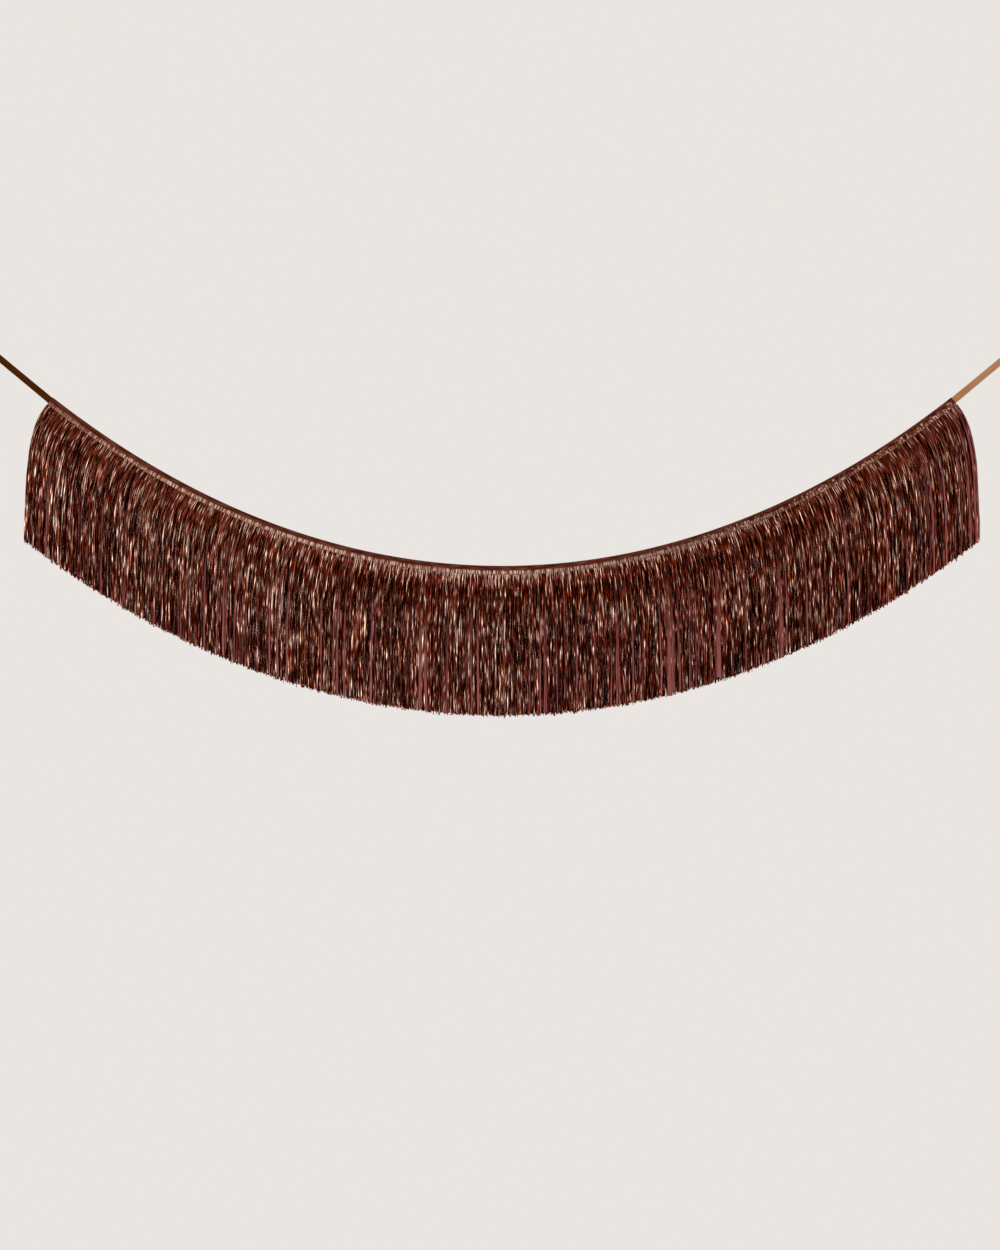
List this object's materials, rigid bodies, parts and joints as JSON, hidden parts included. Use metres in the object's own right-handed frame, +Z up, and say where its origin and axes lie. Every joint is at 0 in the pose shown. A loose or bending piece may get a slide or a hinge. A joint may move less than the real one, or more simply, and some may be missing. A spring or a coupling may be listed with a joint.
{
  "type": "fringe banner",
  "caption": "Hanging party banner: a deep metallic film fringe sewn over a satin ribbon that sags in a curve between two tied hanging loops.",
  "frame": {"origin": "midway between the two hooks that the end loops hang on, on the straight line through them", "axes": "+X along the banner to the viewer's right, +Y back towards the wall it hangs before, +Z up"},
  "size_m": [1.9852, 0.0246, 0.7154],
  "materials": {
    "foil_film": "metallised film, bright",
    "satin_ribbon": "satin weave",
    "sewing_thread": "spun polyester"
  },
  "bodies": {
    "root": {"left_hanging_loop": "satin_ribbon", "right_hanging_loop": "satin_ribbon", "left_knot": "satin_ribbon", "right_knot": "satin_ribbon", "left_ribbon_end": "satin_ribbon", "right_ribbon_end": "satin_ribbon"},
    "banner": {"left_ribbon_tail": "satin_ribbon", "right_ribbon_tail": "satin_ribbon", "channel_ribbon": "satin_ribbon", "header_sleeve": "foil_film", "front_stitch_row": "sewing_thread", "back_stitch_row": "sewing_thread"},
    "panel_01": {"front_fringe_01": "foil_film", "back_fringe_01": "foil_film"},
    "panel_02": {"front_fringe_02": "foil_film", "back_fringe_02": "foil_film"},
    "panel_03": {"front_fringe_03": "foil_film", "back_fringe_03": "foil_film"},
    "panel_04": {"front_fringe_04": "foil_film", "back_fringe_04": "foil_film"},
    "panel_05": {"front_fringe_05": "foil_film", "back_fringe_05": "foil_film"},
    "panel_06": {"front_fringe_06": "foil_film", "back_fringe_06": "foil_film"},
    "panel_07": {"front_fringe_07": "foil_film", "back_fringe_07": "foil_film"},
    "panel_08": {"front_fringe_08": "foil_film", "back_fringe_08": "foil_film"},
    "panel_09": {"front_fringe_09": "foil_film", "back_fringe_09": "foil_film"},
    "panel_10": {"front_fringe_10": "foil_film", "back_fringe_10": "foil_film"},
    "panel_11": {"front_fringe_11": "foil_film", "back_fringe_11": "foil_film"},
    "panel_12": {"front_fringe_12": "foil_film", "back_fringe_12": "foil_film"}
  },
  "joints": [
    {"name": "banner_swing", "type": "hinge", "parent": "root", "child": "banner", "pos_m": [0, 0, -0.023], "axis": [1, 0, 0], "range_deg": [-90, 90]},
    {"name": "panel_01_swing", "type": "hinge", "parent": "banner", "child": "panel_01", "pos_m": [-0.78441, 0, -0.17666], "axis": [0.8131, 0, -0.5821], "range_deg": [-30, 30]},
    {"name": "panel_02_swing", "type": "hinge", "parent": "banner", "child": "panel_02", "pos_m": [-0.65598, 0, -0.2601], "axis": [0.8629, 0, -0.5053], "range_deg": [-30, 30]},
    {"name": "panel_03_swing", "type": "hinge", "parent": "banner", "child": "panel_03", "pos_m": [-0.52002, 0, -0.33075], "axis": [0.9101, 0, -0.4145], "range_deg": [-30, 30]},
    {"name": "panel_04_swing", "type": "hinge", "parent": "banner", "child": "panel_04", "pos_m": [-0.3772, 0, -0.3864], "axis": [0.951, 0, -0.3093], "range_deg": [-30, 30]},
    {"name": "panel_05_swing", "type": "hinge", "parent": "banner", "child": "panel_05", "pos_m": [-0.22878, 0, -0.42494], "axis": [0.9815, 0, -0.1915], "range_deg": [-30, 30]},
    {"name": "panel_06_swing", "type": "hinge", "parent": "banner", "child": "panel_06", "pos_m": [-0.07669, 0, -0.44468], "axis": [0.9979, 0, -0.0649], "range_deg": [-30, 30]},
    {"name": "panel_07_swing", "type": "hinge", "parent": "banner", "child": "panel_07", "pos_m": [0.07669, 0, -0.44468], "axis": [0.9979, 0, 0.0649], "range_deg": [-30, 30]},
    {"name": "panel_08_swing", "type": "hinge", "parent": "banner", "child": "panel_08", "pos_m": [0.22878, 0, -0.42494], "axis": [0.9815, 0, 0.1915], "range_deg": [-30, 30]},
    {"name": "panel_09_swing", "type": "hinge", "parent": "banner", "child": "panel_09", "pos_m": [0.3772, 0, -0.3864], "axis": [0.951, 0, 0.3093], "range_deg": [-30, 30]},
    {"name": "panel_10_swing", "type": "hinge", "parent": "banner", "child": "panel_10", "pos_m": [0.52002, 0, -0.33075], "axis": [0.9101, 0, 0.4145], "range_deg": [-30, 30]},
    {"name": "panel_11_swing", "type": "hinge", "parent": "banner", "child": "panel_11", "pos_m": [0.65598, 0, -0.2601], "axis": [0.8629, 0, 0.5053], "range_deg": [-30, 30]},
    {"name": "panel_12_swing", "type": "hinge", "parent": "banner", "child": "panel_12", "pos_m": [0.78441, 0, -0.17666], "axis": [0.8131, 0, 0.5821], "range_deg": [-30, 30]}
  ]
}
